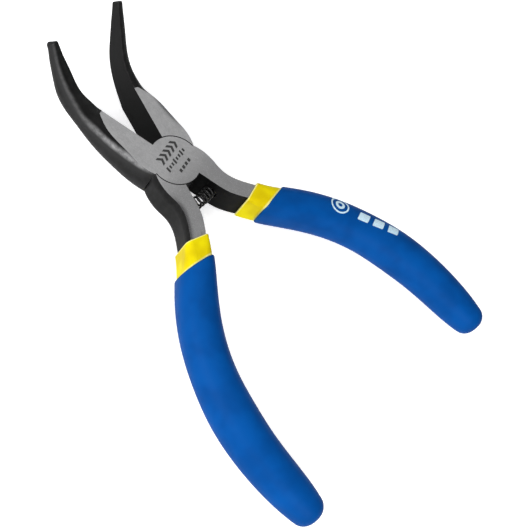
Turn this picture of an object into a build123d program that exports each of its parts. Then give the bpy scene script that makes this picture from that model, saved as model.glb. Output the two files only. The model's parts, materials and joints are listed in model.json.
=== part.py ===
from build123d import *
import math
import os

# Bent needle nose pliers with a lap joint, a return spring and double-dipped grips.
# Each half is drawn closed, with the gripping faces on the YZ plane, and is then turned
# to its open stop. Origin: pivot axis on the joint's underside. +Y nose, +Z upper face.

# Driving dimensions (mm, degrees)
HALF_OPEN = 15.67  # each half turns this far from closed to its stop
JOINT_THICKNESS = 8.9
LAP = JOINT_THICKNESS / 2  # height of the lap plane and of the grip axes
LAP_GAP = 0.04
DISC_RADIUS = 6.3
DISC_CLEARANCE = 0.24
FACE_GAP = 0.04  # between the gripping faces when closed
SHOULDER_ANGLE = 2.0  # stop faces, above the X axis when open
SHOULDER_GAP = 0.035
SHOULDER_RADIUS = 7.35  # outer end of the stop faces
FLAT_END = 20.4  # where the ground upper flat runs out on the jaw
TIP_ROUND = 0.3
RAMP_START = 10.0  # where the ground underside ramps down to the jaw's belly
RAMP_END = 12.6
JAW_BELLY = 1.2  # belly below the joint's underside

RIVET_RADIUS = 2.0
RIVET_HEAD_RADIUS = 3.0
RIVET_HEAD_HEIGHT = 1.4
RIVET_CLEARANCE = 0.05

SPRING_WIRE = 0.55
SPRING_RADIUS = 1.38  # to the wire's centre
SPRING_TURNS = 12
POINTS_PER_TURN = 8
SPRING_END_GAP = 0.02  # between the spring's ends and the socket floors
SOCKET_Y = -11.0  # on the closed half
SOCKET_RADIUS = 1.85
SOCKET_FLOOR = 3.9  # distance of the socket's floor from the middle plane
TANG_INNER = 0.82  # tang's inner face from the middle plane, at the socket

CORE_WIDTH = 4.4
CORE_HEIGHT = 6.2
CORE_CORNER = 1.6
TANG_CROWN = 1.2  # forged height ground off each flat
TANG_ROUND = 3.2
SLEEVE_START = -19.35  # first dip line, level when the pliers hang closed
GRIP_START = (3.4, -24.1)  # second dip line's inner end
GRIP_START_SLOPE = -8.0
SLEEVE_LIP = 0.22
GRIP_LIP = 0.45
GRIP_END_ROUND = 3.3

BIG = 120.0

# Jaw stations: (bottom y, bottom z), (top y, top z) on the gripping face, jaw width.
# Heights are from the lap plane. The first stations are domed and then ground flat.
JAW_STATIONS = [
    ((-3.0, -9.0), (-3.0, 9.4), 7.5),
    ((3.0, -8.9), (3.0, 9.1), 7.5),
    ((8.0, -8.2), (8.0, 8.0), 7.35),
    ((13.6, -7.4), (13.6, 6.8), 6.25),
    ((17.8, -6.7), (17.8, 5.6), 5.05),
    ((20.7, -5.6), (20.3, 4.6), 4.25),
    ((24.0, -4.2), (22.8, 4.9), 3.5),
    ((27.6, -2.25), (25.2, 5.6), 3.0),
    ((30.4, 0.2), (27.4, 7.0), 2.75),
    ((32.4, 3.2), (29.5, 9.4), 2.5),
    ((34.2, 7.2), (31.6, 12.0), 2.3),
    ((35.9, 11.2), (33.7, 14.5), 2.05),
    ((37.6, 15.3), (35.95, 17.3), 1.78),
]

# Tang outline, closed: outer side from the shoulder down, then the inner face.
TANG_OUTER = [
    (7.3, -4.0),
    (6.75, -7.4),
    (5.75, -10.6),
    (5.75, -13.4),
    (6.65, -16.6),
    (7.75, -19.4),
]
TANG_OUTER_END = (10.6, -25.4)
TANG_INNER_END = (6.4, -27.0)
TANG_INNER_LINE = [
    (2.7, -19.3),
    (1.75, -17.0),
    (1.0, -14.3),
    (TANG_INNER, -11.7),
    (TANG_INNER, -8.7),
    (TANG_INNER, -4.0),
]

# Handle axis, closed, from under the sleeve's edge to the rounded end of the grip.
HANDLE_AXIS = [
    (4.15, -16.5),
    (7.0, -24.2),
    (11.7, -33.3),
    (15.6, -44.5),
    (17.0, -56.0),
    (16.4, -67.2),
    (14.1, -78.2),
    (11.6, -87.6),
]
GRIP_END = 73.7

# Sections of the dips along the axis: distance, width in plan, height, squareness.
SLEEVE_SECTIONS = [
    (0.0, 6.0, 9.6, 1.3),
    (5.5, 6.4, 9.7, 1.7),
    (11.0, 7.3, 9.5, 2.5),
    (17.0, 7.5, 9.0, 2.4),
    (26.0, 7.5, 8.5, 2.6),
    (36.0, 7.5, 8.4, 2.6),
    (45.0, 7.5, 8.4, 2.6),
    (54.0, 7.5, 8.4, 2.6),
    (63.0, 7.2, 8.0, 2.5),
    (69.0, 6.4, 7.2, 2.3),
]
GRIP_SECTIONS = [
    (5.5, 8.6, 10.6, 2.5),
    (10.5, 9.1, 10.7, 2.4),
    (17.0, 9.7, 10.5, 2.3),
    (26.0, 10.2, 10.4, 2.1),
    (36.0, 10.6, 10.6, 2.0),
    (45.0, 11.1, 11.1, 2.0),
    (54.0, 10.8, 10.8, 2.0),
    (63.0, 10.1, 10.1, 2.0),
    (69.0, 8.8, 9.1, 2.0),
    (GRIP_END, 7.0, 7.5, 2.0),
]
CORE_SPAN = (6.5, 66.0)  # where the slim steel core runs inside the dips
SECTION_POINTS = 16

open_angle = math.radians(HALF_OPEN)
shoulder_open = math.radians(SHOULDER_ANGLE)


def polar(radius, angle):
    return (radius * math.cos(angle), radius * math.sin(angle))


def drum(radius, low, high):
    """A round disc on the pivot axis between two heights."""
    with BuildPart() as solid:
        with BuildSketch(Plane.XY.offset(low)):
            Circle(radius)
        extrude(amount=high - low)
    return solid.part


def jaw_plane(bottom, top):
    """Section plane across the jaw: local x climbs the gripping face, local y points outward."""
    climb = Vector(0, top[0] - bottom[0], top[1] - bottom[1]).normalized()
    return Plane((0, bottom[0], bottom[1] + LAP), x_dir=climb, z_dir=(0, -climb.Z, climb.Y))


def jaw_body():
    """The bent jaw of the closed upper half, on the -X side of the gripping plane."""
    shoulder = math.pi - shoulder_open - open_angle - SHOULDER_GAP / 2 / DISC_RADIUS
    with BuildPart() as jaw:
        for bottom, top, width in JAW_STATIONS:
            face_length = math.dist(bottom, top)
            with BuildSketch(jaw_plane(bottom, top)):
                with BuildLine():
                    EllipticalCenterArc((face_length / 2, 0), face_length / 2, width, 0, arc_size=180)
                    Polyline((0, 0), (0, -1), (face_length, -1), (face_length, 0))
                make_face()
        loft()
        with BuildSketch(Plane.XY.offset(-BIG / 2)):
            Polygon(
                (-FACE_GAP / 2, 0),
                (-FACE_GAP / 2, BIG),
                (-BIG, BIG),
                polar(BIG, shoulder),
                align=None,
            )
        extrude(amount=BIG, mode=Mode.INTERSECT)
        with BuildSketch(Plane.XY.offset(JOINT_THICKNESS)):
            with Locations((0, FLAT_END)):
                Rectangle(BIG, BIG, align=(Align.CENTER, Align.MAX))
        extrude(amount=BIG, mode=Mode.SUBTRACT)
        with BuildSketch(Plane.YZ.offset(-BIG / 2)):
            Polygon(
                (-BIG, 0),
                (RAMP_START, 0),
                (RAMP_END, -JAW_BELLY),
                (BIG, -JAW_BELLY),
                (BIG, -BIG),
                (-BIG, -BIG),
                align=None,
            )
        extrude(amount=BIG, mode=Mode.SUBTRACT)
        fillet(jaw.edges().group_by(Axis.Z)[-1], TIP_ROUND)
    return jaw.part


def tang_body():
    """The closed upper half's tang, on the +X side, with its crowned side and ground flats."""
    shoulder = shoulder_open - open_angle - SHOULDER_GAP / 2 / DISC_RADIUS
    with BuildPart() as tang:
        with BuildSketch(Plane.XY.offset(-TANG_CROWN)):
            with BuildLine():
                start = polar(SHOULDER_RADIUS, shoulder)
                outer = Spline(start, *TANG_OUTER, TANG_OUTER_END)
                Line(TANG_OUTER_END, TANG_INNER_END)
                Spline(TANG_INNER_END, *TANG_INNER_LINE[:-1])
                Polyline(*TANG_INNER_LINE[-2:], (0, 0), start)
            make_face()
        extrude(amount=JOINT_THICKNESS + 2 * TANG_CROWN)
        outer_face = tang.faces().sort_by_distance((*TANG_OUTER[2], LAP))[0]
        by_height = outer_face.edges().group_by(Axis.Z)
        fillet(by_height[0] + by_height[-1], TANG_ROUND)
        with BuildSketch(Plane.XY):
            Rectangle(BIG, BIG)
        extrude(amount=JOINT_THICKNESS, mode=Mode.INTERSECT)
    return tang.part


def handle_axis():
    with BuildLine(Plane.XY.offset(LAP)) as axis:
        Spline(*HANDLE_AXIS)
    return axis.edge()


def across(axis, distance):
    """Section plane across the handle: local x in plan, local y up."""
    share = distance / axis.length
    along = axis % share
    return Plane(axis @ share, x_dir=along.cross(Vector(0, 0, 1)), z_dir=along)


def below(x, y, slope):
    """A block of everything below a dip line through a point, to cut a dip off there."""
    with BuildPart() as block:
        with BuildSketch(Plane.XY.offset(-BIG / 2)):
            with Locations(Location((x, y), slope)):
                Rectangle(BIG, BIG, align=(Align.CENTER, Align.MAX))
        extrude(amount=BIG)
    return block.part


def sleeve_envelope():
    """Outer shape of the first dip: rounded rectangles lofted along the handle."""
    axis = handle_axis()
    with BuildPart() as envelope:
        for distance, width, height, corner in SLEEVE_SECTIONS:
            with BuildSketch(across(axis, distance)):
                RectangleRounded(width, height, corner)
        loft()
        add(below(0, SLEEVE_START, 0), mode=Mode.INTERSECT)
        rim = envelope.faces().filter_by(GeomType.PLANE).sort_by(Axis.Y)[-1]
        fillet(rim.edges(), SLEEVE_LIP)
    return envelope.part


def oval(width, height, power):
    """Points of a superellipse, square-shouldered at a high power and round at 2."""
    points = []
    for step in range(SECTION_POINTS):
        turn = 2 * math.pi * step / SECTION_POINTS
        across_part = math.copysign(abs(math.cos(turn)) ** (2 / power), math.cos(turn))
        up_part = math.copysign(abs(math.sin(turn)) ** (2 / power), math.sin(turn))
        points.append((width / 2 * across_part, height / 2 * up_part))
    return points


def grip_envelope():
    """Outer shape of the thick second dip, with its rounded end."""
    axis = handle_axis()
    with BuildPart() as envelope:
        for distance, width, height, power in GRIP_SECTIONS:
            with BuildSketch(across(axis, distance)):
                with BuildLine():
                    Spline(*oval(width, height, power), periodic=True)
                make_face()
        loft()
        fillet(envelope.faces().sort_by(Axis.Y)[0].edges(), GRIP_END_ROUND)
        add(below(*GRIP_START, GRIP_START_SLOPE), mode=Mode.INTERSECT)
        rim = envelope.faces().filter_by(GeomType.PLANE).sort_by(Axis.Y)[-1]
        fillet(rim.edges(), GRIP_LIP)
    return envelope.part


def core_body():
    """Slim steel core that runs on inside the dips."""
    axis = handle_axis()
    start, end = CORE_SPAN
    with BuildPart() as core:
        with BuildLine() as run:
            add(axis.trim(start / axis.length, end / axis.length))
        with BuildSketch(across(axis, start)):
            RectangleRounded(CORE_WIDTH, CORE_HEIGHT, CORE_CORNER)
        sweep(path=run.line)
    return core.part


def rivet_body(clearance):
    """Rivet with a countersunk head flush with each flat, or the space that it needs."""
    radius = RIVET_RADIUS + clearance
    head = RIVET_HEAD_RADIUS + clearance
    with BuildPart() as rivet:
        with BuildSketch(Plane.XZ):
            with BuildLine():
                Polyline(
                    (0, 0),
                    (head, 0),
                    (radius, RIVET_HEAD_HEIGHT),
                    (radius, JOINT_THICKNESS - RIVET_HEAD_HEIGHT),
                    (head, JOINT_THICKNESS),
                    (0, JOINT_THICKNESS),
                    close=True,
                )
            make_face()
        revolve(axis=Axis.Z)
    return rivet.part


def steel_half(carries_top):
    """One closed half: jaw on -X, tang on +X, its own disc, and room for the other's."""
    if carries_top:
        own = (LAP + LAP_GAP / 2, JOINT_THICKNESS)
        other = (-BIG / 2, LAP + LAP_GAP / 2)
    else:
        own = (0, LAP - LAP_GAP / 2)
        other = (LAP - LAP_GAP / 2, BIG / 2)
    jaw, tang, core = jaw_body(), tang_body(), core_body()
    pocket, disc = drum(DISC_RADIUS + DISC_CLEARANCE, *other), drum(DISC_RADIUS, *own)
    bore = rivet_body(0 if carries_top else RIVET_CLEARANCE)
    with BuildPart() as half:
        add([jaw, tang, core])
        add(pocket, mode=Mode.SUBTRACT)
        add(disc)
        with BuildSketch(Plane.YZ.offset(TANG_INNER - 1)):
            with Locations((SOCKET_Y, LAP)):
                Circle(SOCKET_RADIUS)
        extrude(amount=SOCKET_FLOOR - TANG_INNER + 1, mode=Mode.SUBTRACT)
        add(bore, mode=Mode.SUBTRACT)
    return half.part


def spring_body():
    """Coil spring bent to the two socket axes while the pliers stand open."""
    end = Vector(SOCKET_FLOOR - SPRING_END_GAP, SOCKET_Y).rotate(Axis.Z, HALF_OPEN)
    bend_radius = end.X / math.sin(open_angle)
    centre_y = end.Y + bend_radius * math.cos(open_angle)
    span = open_angle - SPRING_WIRE / 2 / bend_radius
    steps = SPRING_TURNS * POINTS_PER_TURN
    points = []
    for step in range(steps + 1):
        bend = span * (2 * step / steps - 1)
        turn = 2 * math.pi * SPRING_TURNS * step / steps
        reach = bend_radius + SPRING_RADIUS * math.cos(turn)
        height = LAP + SPRING_RADIUS * math.sin(turn)
        points.append((reach * math.sin(bend), centre_y - reach * math.cos(bend), height))
    with BuildPart() as spring:
        with BuildLine() as coil:
            Spline(*points)
        with BuildSketch(Plane(coil.line @ 0, z_dir=coil.line % 0)):
            Circle(SPRING_WIRE / 2)
        sweep(path=coil.line)
    return spring.part


def opened(closed_part, upper):
    """Turns a closed part of the upper half open, or mirrors it for the lower half."""
    turned = closed_part.rotate(Axis.Z, HALF_OPEN)
    return turned if upper else mirror(turned, about=Plane.YZ, mode=Mode.PRIVATE)


os.makedirs("parts", exist_ok=True)

sleeve_shape = sleeve_envelope()
grip_shape = grip_envelope()

for side, is_upper in (("upper", True), ("lower", False)):
    steel = steel_half(is_upper)
    with BuildPart() as steel_part:
        add(opened(steel, is_upper))
    steel_part.part.label = side + "_half"
    export_step(steel_part.part, "parts/" + side + "_half.step")

    with BuildPart() as inner_sleeve:
        add(opened(sleeve_shape - steel, is_upper))
    inner_sleeve.part.label = side + "_inner_sleeve"
    export_step(inner_sleeve.part, "parts/" + side + "_inner_sleeve.step")

    with BuildPart() as outer_grip:
        add(opened(grip_shape - sleeve_shape, is_upper))
    outer_grip.part.label = side + "_outer_grip"
    export_step(outer_grip.part, "parts/" + side + "_outer_grip.step")

with BuildPart() as pivot_rivet:
    add(rivet_body(0))
pivot_rivet.part.label = "pivot_rivet"
export_step(pivot_rivet.part, "parts/pivot_rivet.step")

with BuildPart() as return_spring:
    add(spring_body())
return_spring.part.label = "return_spring"
export_step(return_spring.part, "parts/return_spring.step")
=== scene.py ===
import bpy
import json
import math
from mathutils import Euler, Matrix, Vector
from mathutils.bvhtree import BVHTree


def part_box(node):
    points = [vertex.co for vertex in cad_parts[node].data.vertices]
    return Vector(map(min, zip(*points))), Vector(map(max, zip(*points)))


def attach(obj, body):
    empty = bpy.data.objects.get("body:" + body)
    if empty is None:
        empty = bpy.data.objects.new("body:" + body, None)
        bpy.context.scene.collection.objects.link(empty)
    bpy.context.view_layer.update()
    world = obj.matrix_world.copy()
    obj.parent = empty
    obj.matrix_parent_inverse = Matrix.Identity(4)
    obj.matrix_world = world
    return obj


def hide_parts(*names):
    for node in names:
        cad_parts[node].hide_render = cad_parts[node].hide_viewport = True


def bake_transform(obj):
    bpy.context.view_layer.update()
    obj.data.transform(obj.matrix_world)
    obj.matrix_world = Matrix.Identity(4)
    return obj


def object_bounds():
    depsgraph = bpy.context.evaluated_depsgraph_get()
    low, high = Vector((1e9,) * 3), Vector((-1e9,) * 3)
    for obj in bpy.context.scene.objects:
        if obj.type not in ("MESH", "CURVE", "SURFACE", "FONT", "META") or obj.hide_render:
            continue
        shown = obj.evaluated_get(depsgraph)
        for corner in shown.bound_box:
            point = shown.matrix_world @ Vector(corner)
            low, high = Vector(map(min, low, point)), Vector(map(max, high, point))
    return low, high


# Looks of the bent needle nose pliers. Lengths are named in millimetres, in the row frame.

MM = 0.001

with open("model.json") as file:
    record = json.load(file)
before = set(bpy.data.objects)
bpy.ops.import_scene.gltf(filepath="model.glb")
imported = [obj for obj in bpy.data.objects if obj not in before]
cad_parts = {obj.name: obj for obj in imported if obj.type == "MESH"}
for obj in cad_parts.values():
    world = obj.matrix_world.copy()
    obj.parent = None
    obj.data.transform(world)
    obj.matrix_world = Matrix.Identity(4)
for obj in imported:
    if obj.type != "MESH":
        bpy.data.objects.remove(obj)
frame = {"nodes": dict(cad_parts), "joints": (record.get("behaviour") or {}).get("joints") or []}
cad_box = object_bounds()
nodes = frame["nodes"]

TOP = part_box("pivot_rivet")[1].z / MM  # joint's ground upper face
LAP = TOP / 2
HALF_OPEN = frame["joints"][0]["range_deg"][1] / 2  # degrees each half turns from closed

# Camera
CAMERA_PLACE = (-131.24, -35.15, 206.69)
CAMERA_TURN = (24.5, -23.13, -48.15)
CAMERA_LENS = 68.58

# Studio: the white surround, and what glossy surfaces see of it between two heights of direction
SURROUND = 0.42
HORIZON = (0.15, 0.04)
ZENITH = (0.8, 0.6)
FLOOR_GLOW = 0.5  # the floor's own light as the camera sees it
FLOOR_BOUNCE = 0.12  # and as it falls on the object
FLOOR_TONES = (0.93, 0.95)
FLOOR_FAR = (60.0, 180.0)  # where the floor darkens in reflections
FLOOR_FAR_TONE = 0.06
FLOOR_REACH = 1500
FLOOR_DROP = 0.02
LIGHTS = [  # name, place, target, size, power
    ("key", (-340, 180, 270), (0, -20, 5), 380, 1.75),
    ("top", (60, 80, 460), (0, -20, 5), 300, 0.5),
    ("low", (-260, -260, 220), (0, -60, 5), 260, 0.9),
]

# Dip lines on the closed half
SLEEVE_START = -19.35
GRIP_START = (3.4, -24.1)
GRIP_START_SLOPE = -8.0

# Return spring
SPRING_WIRE = 0.55
SPRING_RADIUS = 1.38
SPRING_TURNS = 12
SPRING_END = (3.88, -11.0)  # on the closed half
WIRE_SIDES = 12
STEPS_PER_TURN = 28

# Steel: the ground flats
FLAT_TONE = 0.33
FLAT_TOLERANCE = 0.012  # heights within this of a flat count as ground
LAP_TOLERANCE = 0.04
LEVEL_SLOPE = 0.985
TANG_PAINTED_SHADE = (1.0, -8.0)  # painted shade: the flats darken between these, towards the handles
# Outer margins of the lower flats: dull unground steel, and painted shade for a rounded edge
SHOULDER_DULL_AND_SHADE_TONE = 0.07
SHOULDER_ROUND = 2.2
SHOULDER_BREADTH = (3.0, 4.2)  # the dull margins, darkened by painted shade, lie further out than this

# Steel: the forged scale, and the jaw's ridge, which sinks to its lowest point and climbs past it; along it a
# painted glint, with painted light below it and painted shade above it
SCALE_TONE = 0.011
RIDGE_PAINTED_GLINT_TONE = 0.34
WEAR_TONE = 0.12
WEAR_ROUND = 0.16
EDGE_ROUND = 0.07
RIDGE_HEIGHT = 6.45
RIDGE_BEND = 20.5
RIDGE_RISE = 0.155
RIDGE_CLIMB = 0.064
RIDGE_START = (1.0, 5.0)
RIDGE_GLINT = (26.0, 13.0)  # the ridge's painted glint brightens between these

# Vinyl: deep and full tone, and the pale or dark lips along the dip lines (half width, colour)
YELLOW = ((0.56, 0.43, 0.001, 1), (0.72, 0.62, 0.002, 1))
YELLOW_ROUGHNESS = 0.4
YELLOW_FIRST_LIP = (0.4, (0.82, 0.78, 0.3, 1))
YELLOW_SECOND_LIP = (0.5, (0.78, 0.74, 0.28, 1))
BLUE = ((0.0, 0.05, 0.22, 1), (0.0, 0.064, 0.275, 1))
BLUE_ROUGHNESS = 0.48
BLUE_LIP = (0.3, (0.004, 0.06, 0.14, 1))
STAMP_COLOUR = (0.014, 0.014, 0.014, 1)
PRINT_COLOUR = (0.55, 0.74, 0.85, 1)

# Printed marks, all plain shapes. Places and turns are in plan, on the open upper half.
STAMP_TURN = 13.5  # degrees from +X that the joint's rows read
STAMP_LIFT = 0.02
PRINT_LIFT = 0.05
PRINT_ROOT = 0.04  # how far a mark's skirt goes under the surface
LEAN = 0.25  # sideways lean of the bars
EMBLEM_PLACE = (26.3, -34.1)
EMBLEM_RADIUS = 2.5
BAR_PLACES = [(28.9, -40.5, -62), (30.9, -44.2, -61), (32.9, -47.9, -60)]
BAR_SIZE = (2.9, 2.5)


def mm(*values):
    return Vector(values) * MM


class Shader:
    """A node material under construction: each method adds one node and returns its output."""

    def __init__(self, name):
        self.material = bpy.data.materials.new(name)
        self.material.use_nodes = True
        self.tree = self.material.node_tree
        self.surface = self.tree.nodes["Principled BSDF"]
        coordinates = self.tree.nodes.new("ShaderNodeTexCoord")
        scale = self.tree.nodes.new("ShaderNodeVectorMath")
        scale.operation = "SCALE"
        scale.inputs["Scale"].default_value = 1 / MM
        self.link(coordinates.outputs["Object"], scale.inputs[0])
        self.place = scale.outputs[0]

    def link(self, source, target):
        if isinstance(source, bpy.types.NodeSocket):
            self.tree.links.new(source, target)
        else:
            target.default_value = source

    def math(self, operation, a, b=0.0, c=0.0):
        node = self.tree.nodes.new("ShaderNodeMath")
        node.operation = operation
        for socket, value in zip(node.inputs, (a, b, c)):
            self.link(value, socket)
        return node.outputs[0]

    def product(self, first, *others):
        for other in others:
            first = self.math("MULTIPLY", first, other)
        return first

    def vector(self, operation, a, b):
        node = self.tree.nodes.new("ShaderNodeVectorMath")
        node.operation = operation
        self.link(a, node.inputs[0])
        self.link(b, node.inputs[1])
        return node.outputs["Value"] if operation == "DOT_PRODUCT" else node.outputs["Vector"]

    def split(self, vector):
        node = self.tree.nodes.new("ShaderNodeSeparateXYZ")
        self.link(vector, node.inputs[0])
        return node.outputs

    def noise(self, size, stretch=(1, 1, 1), detail=3.0, roughness=0.55):
        """Noise whose grains are about size millimetres across."""
        place = self.vector("MULTIPLY", self.place, stretch)
        node = self.tree.nodes.new("ShaderNodeTexNoise")
        node.inputs["Scale"].default_value = 1 / size
        node.inputs["Detail"].default_value = detail
        node.inputs["Roughness"].default_value = roughness
        self.link(place, node.inputs["Vector"])
        return node.outputs["Fac"]

    def ramp(self, value, low, high, start=0.0, end=1.0):
        node = self.tree.nodes.new("ShaderNodeMapRange")
        node.interpolation_type = "SMOOTHSTEP"
        for socket, number in zip(node.inputs, (value, low, high, start, end)):
            self.link(number, socket)
        return node.outputs[0]

    def mix(self, share, a, b):
        node = self.tree.nodes.new("ShaderNodeMix")
        node.data_type = "RGBA"
        self.link(share, node.inputs[0])
        self.link(a, node.inputs[6])
        self.link(b, node.inputs[7])
        return node.outputs[2]

    def normal(self):
        """Surface direction in the part's own frame, so it stays put when the part turns."""
        coordinates = self.tree.nodes.new("ShaderNodeTexCoord")
        return coordinates.outputs["Normal"]

    def flat_normal(self):
        geometry = self.tree.nodes.new("ShaderNodeNewGeometry")
        return geometry.outputs["Normal"]

    def rounded(self, radius):
        """Surface direction with sharp edges rounded over radius millimetres."""
        node = self.tree.nodes.new("ShaderNodeBevel")
        node.samples = 6
        node.inputs["Radius"].default_value = radius * MM
        return node.outputs[0]

    def sharpness(self, radius):
        """1 away from edges, and less within radius millimetres of one."""
        return self.vector("DOT_PRODUCT", self.rounded(radius), self.flat_normal())

    def bump(self, height, distance, strength=1.0, normal=None):
        node = self.tree.nodes.new("ShaderNodeBump")
        node.inputs["Distance"].default_value = distance * MM
        node.inputs["Strength"].default_value = strength
        self.link(height, node.inputs["Height"])
        if normal is not None:
            self.link(normal, node.inputs["Normal"])
        return node.outputs[0]

    def set(self, **sockets):
        for name, value in sockets.items():
            self.link(value, self.surface.inputs[name.replace("_", " ")])
        return self.material


def grey(value):
    return (value, value, value * 1.01, 1)


def ground_share(shader, height, slope):
    """1 on the ground flats: level faces at the height of the top, the underside or the lap."""
    top = shader.math("COMPARE", height, TOP, FLAT_TOLERANCE)
    underside = shader.math("COMPARE", height, 0.0, FLAT_TOLERANCE)
    lap = shader.math("COMPARE", height, LAP, LAP_TOLERANCE)
    level = shader.math("GREATER_THAN", shader.math("ABSOLUTE", slope), LEVEL_SLOPE)
    at_height = shader.math("MAXIMUM", shader.math("MAXIMUM", top, underside), lap)
    return shader.product(at_height, level)


def closed_place(shader, across, along):
    """On the closed half: reach from the pivot towards the nose, and breadth from the mid-plane."""
    turn = math.radians(HALF_OPEN)
    beside = shader.math("ABSOLUTE", across)
    reach = shader.math("ADD", shader.product(along, math.cos(turn)), shader.product(beside, math.sin(turn)))
    inward = shader.product(shader.math("ABSOLUTE", along), math.sin(turn))
    breadth = shader.math("SUBTRACT", shader.product(beside, math.cos(turn)), inward)
    return reach, breadth


def above_ridge(shader, reach, height):
    """Height above the ridge that runs along the jaw's outer side."""
    before = shader.math("MAXIMUM", shader.math("SUBTRACT", RIDGE_BEND, reach), 0.0)
    past = shader.math("MAXIMUM", shader.math("SUBTRACT", reach, RIDGE_BEND), 0.0)
    climb = shader.product(shader.math("POWER", past, 2.0), RIDGE_CLIMB)
    ridge = shader.math("ADD", shader.product(before, RIDGE_RISE), climb)
    return shader.math("SUBTRACT", height, shader.math("ADD", ridge, RIDGE_HEIGHT))


def ground_colour(shader, across, along, breadth, grind, mottle, speckle):
    """Brushed and mottled bright steel with specks, and painted shade that darkens it towards the handles."""
    colour = shader.mix(shader.ramp(grind, 0.3, 0.7), grey(FLAT_TONE * 0.9), grey(FLAT_TONE * 1.1))
    colour = shader.mix(shader.ramp(mottle, 0.35, 0.75, 0, 0.7), colour, grey(FLAT_TONE * 0.8))
    # Painted shade: the flats darken towards the handles, where less light falls.
    colour = shader.mix(shader.ramp(along, *TANG_PAINTED_SHADE, 0, 0.65), colour, grey(FLAT_TONE * 0.5))
    colour = shader.mix(shader.ramp(speckle, 0.55, 0.75, 0, 0.5), colour, grey(FLAT_TONE * 1.5))

    # On the lower half, where across times along is positive, the grinding stops short of the outer edges,
    # which stay dull. The dark margin is also painted shade for a rounded edge that the mesh lacks.
    margin = shader.ramp(shader.sharpness(SHOULDER_ROUND), 0.999, 0.985)
    on_lower = shader.ramp(shader.product(across, along), 35.0, 75.0)
    dull_and_shaded_margin = shader.product(margin, shader.ramp(breadth, *SHOULDER_BREADTH), on_lower)
    return shader.mix(dull_and_shaded_margin, colour, grey(SHOULDER_DULL_AND_SHADE_TONE))


def forged_colour(shader, reach, outward, on_jaw, above, mottle, speckle):
    """Dark scale, greyer below the jaw's ridge by painted light, brightened along the ridge by a painted
    glint, worn bright on sharp edges, and made nearly black above the ridge and on the faces that look inward
    by painted shade."""
    colour = shader.mix(shader.ramp(mottle, 0.35, 0.7), grey(SCALE_TONE * 0.7), grey(SCALE_TONE * 1.3))
    colour = shader.mix(shader.ramp(speckle, 0.58, 0.75, 0, 0.4), colour, grey(SCALE_TONE * 2.2))

    # Painted light: the scale is greyer just below the ridge.
    below = shader.product(shader.ramp(above, -4.0, -0.2), shader.ramp(above, 0.7, 0.0), on_jaw)
    colour = shader.mix(below, colour, grey(SCALE_TONE * 2.6))
    # Painted shade: the scale is nearly black above the ridge.
    dark = shader.product(shader.ramp(above, 0.3, 1.2, 0, 0.8), on_jaw)
    colour = shader.mix(dark, colour, grey(SCALE_TONE * 0.15))
    # Painted highlight: a glint along the ridge line, brighter nearer the pivot.
    on_line = shader.ramp(shader.math("ABSOLUTE", above), 1.1, 0.0)
    painted_glint = shader.product(shader.ramp(mottle, 0.3, 0.7, 0.35, 1), shader.ramp(reach, *RIDGE_GLINT, 0.2, 1))
    colour = shader.mix(shader.product(on_line, painted_glint, on_jaw, 0.75), colour, grey(RIDGE_PAINTED_GLINT_TONE))
    # Painted shade: faces that look inward are made nearly black.
    colour = shader.mix(shader.ramp(outward, -0.3, -0.8, 0, 0.95), colour, grey(SCALE_TONE * 0.15))

    edge = shader.ramp(shader.sharpness(WEAR_ROUND), 0.985, 0.93)
    wear = shader.product(edge, shader.ramp(mottle, 0.35, 0.65), 0.4)
    return shader.mix(wear, colour, grey(WEAR_TONE))


def steel_material():
    """Dark forged sides, bright ground flats and thin worn edges, told apart by height and slope."""
    shader = Shader("forged_and_ground_steel")
    across, along, height = shader.split(shader.place)
    side_slope, _, slope = shader.split(shader.normal())
    ground = ground_share(shader, height, slope)
    reach, breadth = closed_place(shader, across, along)
    above = above_ridge(shader, reach, height)
    outward = shader.product(side_slope, shader.math("SIGN", across))
    on_jaw = shader.product(shader.ramp(outward, 0.2, 0.6), shader.ramp(reach, *RIDGE_START))

    grind = shader.noise(0.09, stretch=(1.0, 0.07, 1.0), detail=4)
    mottle = shader.noise(1.6, detail=5, roughness=0.7)
    speckle = shader.noise(0.16, detail=2)
    forged = forged_colour(shader, reach, outward, on_jaw, above, mottle, speckle)
    bright = ground_colour(shader, across, along, breadth, grind, mottle, speckle)

    grain = shader.product(speckle, shader.math("SUBTRACT", 1.0, ground))
    relief = shader.math("ADD", grain, shader.product(grind, 0.25))
    crease = shader.product(shader.ramp(shader.math("ABSOLUTE", above), 1.3, 0.0), on_jaw, 6.0)
    relief = shader.math("ADD", relief, crease)
    return shader.set(
        Base_Color=shader.mix(ground, forged, bright),
        Metallic=shader.ramp(ground, 0, 1, 0.1, 0.7),
        Roughness=0.5,
        Specular_IOR_Level=0.07,
        Normal=shader.bump(relief, 0.012, 0.55, shader.rounded(EDGE_ROUND)),
    )


def spring_material():
    """Blackened wire under an uneven film of oil."""
    shader = Shader("oiled_spring_wire")
    film = shader.noise(0.5, detail=3)
    return shader.set(
        Base_Color=shader.mix(shader.ramp(film, 0.3, 0.7), grey(0.012), grey(0.035)),
        Metallic=0.6,
        Roughness=shader.ramp(film, 0.3, 0.7, 0.22, 0.36),
        Normal=shader.bump(shader.noise(0.07), 0.004, 0.5),
    )


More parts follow.
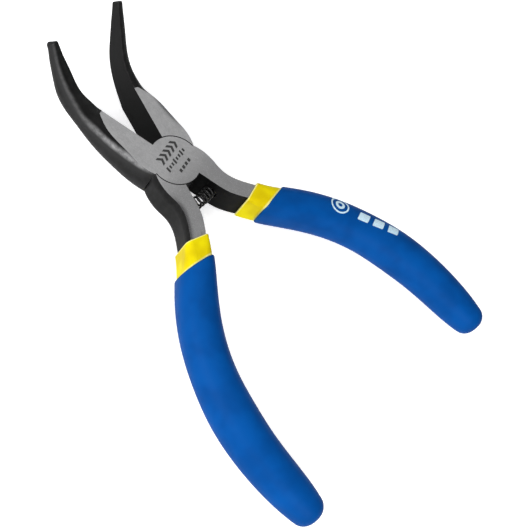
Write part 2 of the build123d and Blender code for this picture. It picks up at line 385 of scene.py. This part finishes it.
def vinyl_material(name, tones, roughness, lips):
    """Dipped vinyl: slow tone changes, faint dip waves, fine grain, and thin lips of another tone."""
    shader = Shader(name)
    cloud = shader.noise(7.0, detail=2)
    grain = shader.noise(0.22, detail=3)
    waves = shader.noise(4.5, stretch=(1, 0.6, 1), detail=1)
    colour = shader.mix(shader.ramp(cloud, 0.3, 0.7), *tones)
    for (direction, level), (width, tone) in lips:
        from_line = shader.math("SUBTRACT", shader.vector("DOT_PRODUCT", shader.place, direction), level)
        band = shader.ramp(shader.math("ABSOLUTE", from_line), width, width * 0.2)
        colour = shader.mix(shader.product(band, 0.75), colour, tone)
    relief = shader.math("ADD", waves, shader.product(grain, 0.06))
    return shader.set(
        Base_Color=colour,
        Roughness=shader.ramp(grain, 0.3, 0.7, roughness - 0.04, roughness + 0.05),
        Normal=shader.bump(relief, 0.12, 0.4),
        Specular_IOR_Level=0.04,
    )


def ink_material(name, colour):
    """Print or etching that has faded in patches."""
    shader = Shader(name)
    patchy = shader.noise(0.3, detail=4)
    faded = tuple(channel * 0.75 for channel in colour[:3]) + (1,)
    return shader.set(
        Base_Color=shader.mix(shader.ramp(patchy, 0.35, 0.7), colour, faded),
        Roughness=0.5,
        Normal=shader.bump(patchy, 0.005, 0.4),
    )


def dip_line(side, point, slope):
    """Direction and level of a dip line on the open half, for distances measured across it."""
    sign = 1 if side == "upper" else -1
    tilt = math.radians(slope)
    turn = tilt + math.radians(HALF_OPEN)
    level = -point[0] * math.sin(tilt) + point[1] * math.cos(tilt)
    return (-math.sin(turn) * sign, math.cos(turn), 0.0), level


def coat(node, material):
    mesh = nodes[node].data
    mesh.materials.clear()
    mesh.materials.append(material)


def new_piece(name, vertices, faces, material, smooth):
    mesh = bpy.data.meshes.new(name)
    mesh.from_pydata(vertices, [], faces)
    mesh.update()
    if smooth:
        mesh.polygons.foreach_set("use_smooth", [True] * len(mesh.polygons))
    mesh.materials.append(material)
    piece = bpy.data.objects.new(name, mesh)
    bpy.context.scene.collection.objects.link(piece)
    return piece


def spring_piece(material):
    """Coil of round wire along the arc between the two sockets, closed at both ends."""
    half = math.radians(HALF_OPEN)
    end_x = SPRING_END[0] * math.cos(half) - SPRING_END[1] * math.sin(half)
    end_y = SPRING_END[0] * math.sin(half) + SPRING_END[1] * math.cos(half)
    bend_radius = end_x / math.sin(half)
    centre_y = end_y + bend_radius * math.cos(half)
    span = half - SPRING_WIRE / 2 / bend_radius
    steps = SPRING_TURNS * STEPS_PER_TURN
    centres = []
    for step in range(steps + 1):
        bend = span * (2 * step / steps - 1)
        turn = 2 * math.pi * SPRING_TURNS * step / steps
        reach = bend_radius + SPRING_RADIUS * math.cos(turn)
        height = LAP + SPRING_RADIUS * math.sin(turn)
        centres.append(Vector((reach * math.sin(bend), centre_y - reach * math.cos(bend), height)))
    vertices = []
    faces = []
    for step, centre in enumerate(centres):
        before = centres[max(step - 1, 0)]
        after = centres[min(step + 1, steps)]
        along = (after - before).normalized()
        bend = span * (2 * step / steps - 1)
        axis = Vector((math.cos(bend), math.sin(bend), 0))
        outward = along.cross(axis).normalized()
        sideways = along.cross(outward)
        for side in range(WIRE_SIDES):
            turn = 2 * math.pi * side / WIRE_SIDES
            offset = outward * math.cos(turn) + sideways * math.sin(turn)
            vertices.append((centre + offset * SPRING_WIRE / 2) * MM)
        if step:
            first = (step - 1) * WIRE_SIDES
            for side in range(WIRE_SIDES):
                following = (side + 1) % WIRE_SIDES
                faces.append((first + side, first + following,
                              first + WIRE_SIDES + following, first + WIRE_SIDES + side))
    faces.append(tuple(range(WIRE_SIDES))[::-1])
    faces.append(tuple(range(steps * WIRE_SIDES, (steps + 1) * WIRE_SIDES)))
    spring = new_piece("coil_spring", vertices, faces, material, smooth=True)
    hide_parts("return_spring")
    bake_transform(spring)


def joint_face(x, y):
    return Vector((x, y, TOP)), Vector((0, 0, 1))


def grip_face():
    """Function that finds the upper grip's surface, and its direction, under a point in plan."""
    mesh = nodes["upper_outer_grip"].data
    tree = BVHTree.FromPolygons([v.co / MM for v in mesh.vertices], [p.vertices for p in mesh.polygons])

    def face(x, y):
        point, direction, _, _ = tree.ray_cast(Vector((x, y, 50)), Vector((0, 0, -1)))
        return point, direction

    return face


def bar_grid(centre, width, height, lean=LEAN, across=8, up=6):
    """Rows of points over a leaning bar, with softly rounded corners."""
    rows = []
    for row in range(up + 1):
        v = (row / up - 0.5) * height
        pull = 1 - 0.06 * abs(2 * row / up - 1) ** 6
        rows.append([
            (centre[0] + (column / across - 0.5) * width * pull + v * lean, centre[1] + v)
            for column in range(across + 1)
        ])
    return rows


def ring_grid(centre, inner, outer, around=56):
    return [
        [
            (centre[0] + radius * math.cos(2 * math.pi * step / around),
             centre[1] + radius * math.sin(2 * math.pi * step / around))
            for step in range(around)
        ]
        for radius in (inner, (inner + outer) / 2, outer)
    ]


def chevron_grid(centre, width, height, across=3, up=10):
    """Rows of points over an arrow-shaped bar pointing along the reading direction."""
    rows = []
    for row in range(up + 1):
        share = 2 * row / up - 1
        point = (1 - abs(share)) * height * 0.35
        rows.append([
            (centre[0] + (column / across - 0.5) * width + point, centre[1] + share * height / 2)
            for column in range(across + 1)
        ])
    return rows


def printed(name, grids, place, turn, face, lift, material, closed=()):
    """Thin raised marks laid on a surface: each grid gets a top and a skirt around its rim."""
    cosine, sine = math.cos(math.radians(turn)), math.sin(math.radians(turn))
    vertices = []
    faces = []
    for index, grid in enumerate(grids):
        loop = index in closed
        columns = len(grid[0])
        first = len(vertices)
        for lowered in (False, True):
            for row in grid:
                for u, v in row:
                    x = place[0] + u * cosine - v * sine
                    y = place[1] + u * sine + v * cosine
                    point, direction = face(x, y)
                    height = -PRINT_ROOT if lowered else lift
                    vertices.append((point + direction * height) * MM)
        under = columns * len(grid)

        def at(row, column):
            return first + row * columns + column % columns

        last = columns if loop else columns - 1
        top_row = len(grid) - 1
        for row in range(top_row):
            for column in range(last):
                faces.append((at(row, column), at(row, column + 1),
                              at(row + 1, column + 1), at(row + 1, column)))
        rims = [[at(0, c) for c in range(last + 1)], [at(top_row, c) for c in range(last, -1, -1)]]
        if not loop:
            rims[0] += [at(r, last) for r in range(1, top_row + 1)]
            rims[1] += [at(r, 0) for r in range(top_row - 1, -1, -1)]
        for rim in rims:
            for a, b in zip(rim, rim[1:]):
                faces.append((a, a + under, b + under, b))
    piece = new_piece(name, vertices, faces, material, smooth=False)
    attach(piece, "upper")


def joint_marks(material):
    """Three rows on the joint: chevrons, then two rows of uneven ticks."""
    large = [chevron_grid((-3.0 + 1.5 * step, 0), 0.75, 2.3) for step in range(5)]
    printed("joint_mark_large", large, (-0.5, 2.5), STAMP_TURN, joint_face, STAMP_LIFT, material)
    tall = (1.35, 0.8, 0.8, 1.35, 0.8, 0.8, 1.35, 0.8)
    ticks = [bar_grid((-3.5 + step, 0), 0.55, height, across=2, up=3) for step, height in enumerate(tall)]
    printed("joint_mark_middle", ticks, (0.15, -0.05), STAMP_TURN, joint_face, STAMP_LIFT, material)
    dashes = [bar_grid((-1.9 + 1.25 * step, 0), 0.8, 0.8, across=2, up=2) for step in range(4)]
    printed("joint_mark_small", dashes, (1.0, -2.35), STAMP_TURN, joint_face, STAMP_LIFT, material)


def grip_marks(material):
    """Two rings, one in the other, then three wide leaning bars along the grip."""
    face = grip_face()
    rings = [ring_grid((0, 0), EMBLEM_RADIUS - 0.4, EMBLEM_RADIUS), ring_grid((0, 0), 0.6, 1.25)]
    printed("grip_emblem", rings, EMBLEM_PLACE, -60, face, PRINT_LIFT, material, closed=(0, 1))
    for index, (x, y, turn) in enumerate(BAR_PLACES):
        bar = [bar_grid((0, 0), *BAR_SIZE)]
        printed("grip_bar_" + str(index + 1), bar, (x, y), turn, face, PRINT_LIFT, material)


def camera():
    data = bpy.data.cameras.new("camera")
    data.lens = CAMERA_LENS
    data.sensor_width = 36
    data.clip_start = 0.01
    holder = bpy.data.objects.new("camera", data)
    turn = Euler([math.radians(angle) for angle in CAMERA_TURN]).to_matrix().to_4x4()
    holder.matrix_world = Matrix.Translation(mm(*CAMERA_PLACE)) @ turn
    bpy.context.scene.collection.objects.link(holder)
    bpy.context.scene.camera = holder


def area_light(name, place, target, size, power):
    data = bpy.data.lights.new(name, "AREA")
    data.shape = "DISK"
    data.size = size * MM
    data.energy = power
    light = bpy.data.objects.new(name, data)
    aim = mm(*target) - mm(*place)
    light.matrix_world = Matrix.Translation(mm(*place)) @ aim.to_track_quat("-Z", "Y").to_matrix().to_4x4()
    bpy.context.scene.collection.objects.link(light)


def surround():
    """White world that darkens towards its horizon in reflections."""
    world = bpy.data.worlds.new("studio")
    world.use_nodes = True
    tree = world.node_tree
    background = tree.nodes["Background"]
    background.inputs["Color"].default_value = (1, 1, 1, 1)
    rays = tree.nodes.new("ShaderNodeLightPath")
    direction = tree.nodes.new("ShaderNodeTexCoord")
    split = tree.nodes.new("ShaderNodeSeparateXYZ")
    sky = tree.nodes.new("ShaderNodeMapRange")
    sky.inputs["From Min"].default_value = HORIZON[0]
    sky.inputs["From Max"].default_value = ZENITH[0]
    sky.inputs["To Min"].default_value = HORIZON[1]
    sky.inputs["To Max"].default_value = ZENITH[1]
    strength = tree.nodes.new("ShaderNodeMix")
    strength.inputs["A"].default_value = SURROUND
    tree.links.new(direction.outputs["Generated"], split.inputs[0])
    tree.links.new(split.outputs[2], sky.inputs["Value"])
    tree.links.new(rays.outputs["Is Glossy Ray"], strength.inputs["Factor"])
    tree.links.new(sky.outputs[0], strength.inputs["B"])
    tree.links.new(strength.outputs[0], background.inputs["Strength"])
    bpy.context.scene.world = world


def floor_material():
    """Pale matt floor with a glow of its own, dark far away in reflections."""
    shader = Shader("pale_floor")
    rays = shader.tree.nodes.new("ShaderNodeLightPath")
    across, along, _ = shader.split(shader.place)
    squares = shader.math("ADD", shader.math("POWER", across, 2.0), shader.math("POWER", along, 2.0))
    spread = shader.math("SQRT", squares)
    far = shader.product(shader.ramp(spread, *FLOOR_FAR), rays.outputs["Is Glossy Ray"])
    pale = shader.mix(shader.noise(60.0, detail=2), *(grey(tone) for tone in FLOOR_TONES))
    return shader.set(
        Base_Color=shader.mix(far, pale, grey(FLOOR_FAR_TONE)),
        Roughness=0.9,
        Emission_Color=shader.mix(far, grey(1.0), grey(0.0)),
        Emission_Strength=shader.ramp(rays.outputs["Is Camera Ray"], 0, 1, FLOOR_BOUNCE, FLOOR_GLOW),
    )


def floor():
    reach = FLOOR_REACH * MM
    level = cad_box[0][2] - FLOOR_DROP * MM
    corners = [(-reach, -reach, level), (reach, -reach, level), (reach, reach, level), (-reach, reach, level)]
    new_piece("floor", corners, [(0, 1, 2, 3)], floor_material(), smooth=False)


def studio():
    """Plain pale floor under the pliers, a white surround and large soft lights."""
    surround()
    floor()
    for light in LIGHTS:
        area_light(*light)
    bpy.context.scene.view_settings.view_transform = "Standard"


steel = steel_material()
for name in ("upper_half", "lower_half", "pivot_rivet"):
    coat(name, steel)

for side in ("upper", "lower"):
    first = dip_line(side, (0, SLEEVE_START), 0)
    second = dip_line(side, GRIP_START, GRIP_START_SLOPE)
    lips = [(first, YELLOW_FIRST_LIP), (second, YELLOW_SECOND_LIP)]
    coat(side + "_inner_sleeve", vinyl_material("yellow_vinyl_" + side, YELLOW, YELLOW_ROUGHNESS, lips))
    lips = [(second, BLUE_LIP)]
    coat(side + "_outer_grip", vinyl_material("blue_vinyl_" + side, BLUE, BLUE_ROUGHNESS, lips))

spring_piece(spring_material())
joint_marks(ink_material("dark_etched_marks", STAMP_COLOUR))
grip_marks(ink_material("pale_print", PRINT_COLOUR))
camera()
studio()
